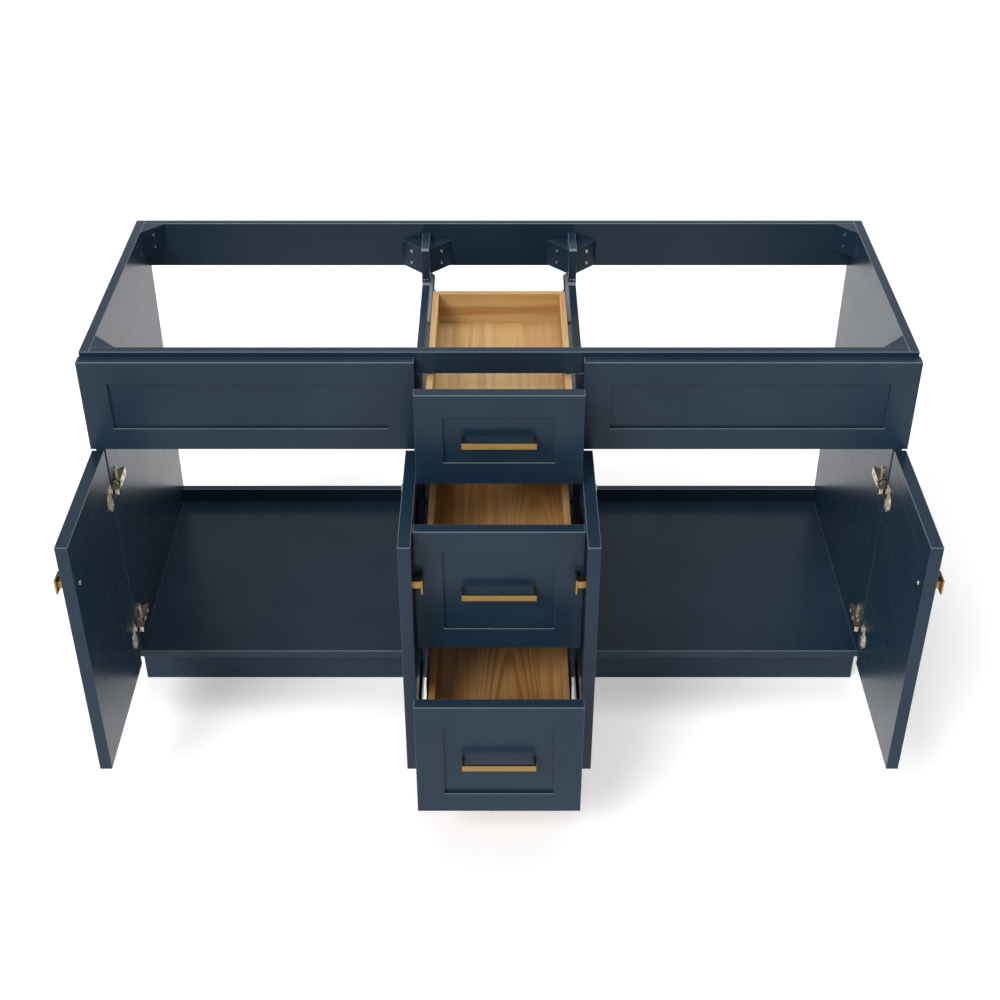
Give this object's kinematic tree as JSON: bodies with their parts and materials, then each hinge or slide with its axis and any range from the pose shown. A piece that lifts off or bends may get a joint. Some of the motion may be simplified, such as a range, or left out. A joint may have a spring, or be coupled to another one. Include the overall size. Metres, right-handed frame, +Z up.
{
  "type": "bathroom vanity cabinet",
  "caption": "Floor-standing double-sink bathroom vanity cabinet without a top: panelled door bays on both sides of a drawer stack, square brass knobs and bar pulls, open back.",
  "frame": {"origin": "on the floor, at the centre of the plinth board's underside", "axes": "+X to the right along the cabinet's width, +Y from the doors to the wall, +Z up"},
  "size_m": [1.563, 1.006, 0.852],
  "materials": {
    "navy_paint": "satin dark navy paint on board",
    "pine": "clear matt lacquer on solid pine",
    "brushed_brass": "brushed brass",
    "nickel_steel": "nickel-plated pressed steel",
    "zinc_steel": "zinc-plated rolled steel",
    "bright_screw": "bright zinc screw",
    "grey_plastic": "moulded light grey plastic"
  },
  "bodies": {
    "carcass": {"side_panel_left": "navy_paint", "side_panel_right": "navy_paint", "partition_left": "navy_paint", "partition_right": "navy_paint", "front_top_rail": "navy_paint", "back_top_rail": "navy_paint", "back_lower_rail": "navy_paint", "deck_panel": "navy_paint", "plinth_board": "navy_paint", "false_front_frames": "navy_paint", "false_front_panels": "navy_paint", "corner_blocks": "navy_paint", "block_screws": "bright_screw", "drawer_rails": "zinc_steel", "rail_dampers": "grey_plastic", "hinge_plates": "nickel_steel", "hinge_arms": "nickel_steel"},
    "door_outer_left": {"door_outer_left_frame": "navy_paint", "door_outer_left_panel": "navy_paint", "door_outer_left_knob": "brushed_brass", "door_outer_left_hinge_cups": "nickel_steel"},
    "door_inner_left": {"door_inner_left_frame": "navy_paint", "door_inner_left_panel": "navy_paint", "door_inner_left_knob": "brushed_brass", "door_inner_left_hinge_cups": "nickel_steel"},
    "door_inner_right": {"door_inner_right_frame": "navy_paint", "door_inner_right_panel": "navy_paint", "door_inner_right_knob": "brushed_brass", "door_inner_right_hinge_cups": "nickel_steel"},
    "door_outer_right": {"door_outer_right_frame": "navy_paint", "door_outer_right_panel": "navy_paint", "door_outer_right_knob": "brushed_brass", "door_outer_right_hinge_cups": "nickel_steel"},
    "drawer_top": {"drawer_top_front_frame": "navy_paint", "drawer_top_front_panel": "navy_paint", "drawer_top_box_sides": "pine", "drawer_top_box_ends": "pine", "drawer_top_box_floor": "pine", "drawer_top_pull": "brushed_brass", "drawer_top_runner": "zinc_steel"},
    "runner_top": {"runner_top_middle": "zinc_steel"},
    "drawer_middle": {"drawer_middle_front_frame": "navy_paint", "drawer_middle_front_panel": "navy_paint", "drawer_middle_box_sides": "pine", "drawer_middle_box_ends": "pine", "drawer_middle_box_floor": "pine", "drawer_middle_pull": "brushed_brass", "drawer_middle_runner": "zinc_steel"},
    "runner_middle": {"runner_middle_middle": "zinc_steel"},
    "drawer_bottom": {"drawer_bottom_front_frame": "navy_paint", "drawer_bottom_front_panel": "navy_paint", "drawer_bottom_box_sides": "pine", "drawer_bottom_box_ends": "pine", "drawer_bottom_box_floor": "pine", "drawer_bottom_pull": "brushed_brass", "drawer_bottom_runner": "zinc_steel"},
    "runner_bottom": {"runner_bottom_middle": "zinc_steel"}
  },
  "joints": [
    {"name": "door_outer_left_hinge", "type": "hinge", "parent": "carcass", "child": "door_outer_left", "pos_m": [-0.76025, -0.10075, 0.3865], "axis": [0, 0, -1], "range_deg": [-90, 15]},
    {"name": "door_inner_left_hinge", "type": "hinge", "parent": "carcass", "child": "door_inner_left", "pos_m": [-0.15575, -0.10075, 0.3865], "axis": [0, 0, 1], "range_deg": [-90, 0]},
    {"name": "door_inner_right_hinge", "type": "hinge", "parent": "carcass", "child": "door_inner_right", "pos_m": [0.15575, -0.10075, 0.3865], "axis": [0, 0, -1], "range_deg": [-90, 0]},
    {"name": "door_outer_right_hinge", "type": "hinge", "parent": "carcass", "child": "door_outer_right", "pos_m": [0.76025, -0.10075, 0.3865], "axis": [0, 0, 1], "range_deg": [-90, 15]},
    {"name": "drawer_top_slide", "type": "slide", "parent": "carcass", "child": "drawer_top", "axis": [0, -1, 0], "range_m": [-0.111, 0.289]},
    {"name": "runner_top_slide", "type": "slide", "parent": "carcass", "child": "runner_top", "axis": [0, -1, 0], "range_m": [-0.0555, 0.1445]},
    {"name": "drawer_middle_slide", "type": "slide", "parent": "carcass", "child": "drawer_middle", "axis": [0, -1, 0], "range_m": [-0.252, 0]},
    {"name": "runner_middle_slide", "type": "slide", "parent": "carcass", "child": "runner_middle", "axis": [0, -1, 0], "range_m": [-0.126, 0]},
    {"name": "drawer_bottom_slide", "type": "slide", "parent": "carcass", "child": "drawer_bottom", "axis": [0, -1, 0], "range_m": [-0.409, 0]},
    {"name": "runner_bottom_slide", "type": "slide", "parent": "carcass", "child": "runner_bottom", "axis": [0, -1, 0], "range_m": [-0.2045, 0]}
  ],
  "couplings": [
    {"joint": "runner_top_slide", "follows": "drawer_top_slide", "ratio": 0.5},
    {"joint": "runner_middle_slide", "follows": "drawer_middle_slide", "ratio": 0.5},
    {"joint": "runner_bottom_slide", "follows": "drawer_bottom_slide", "ratio": 0.5}
  ]
}
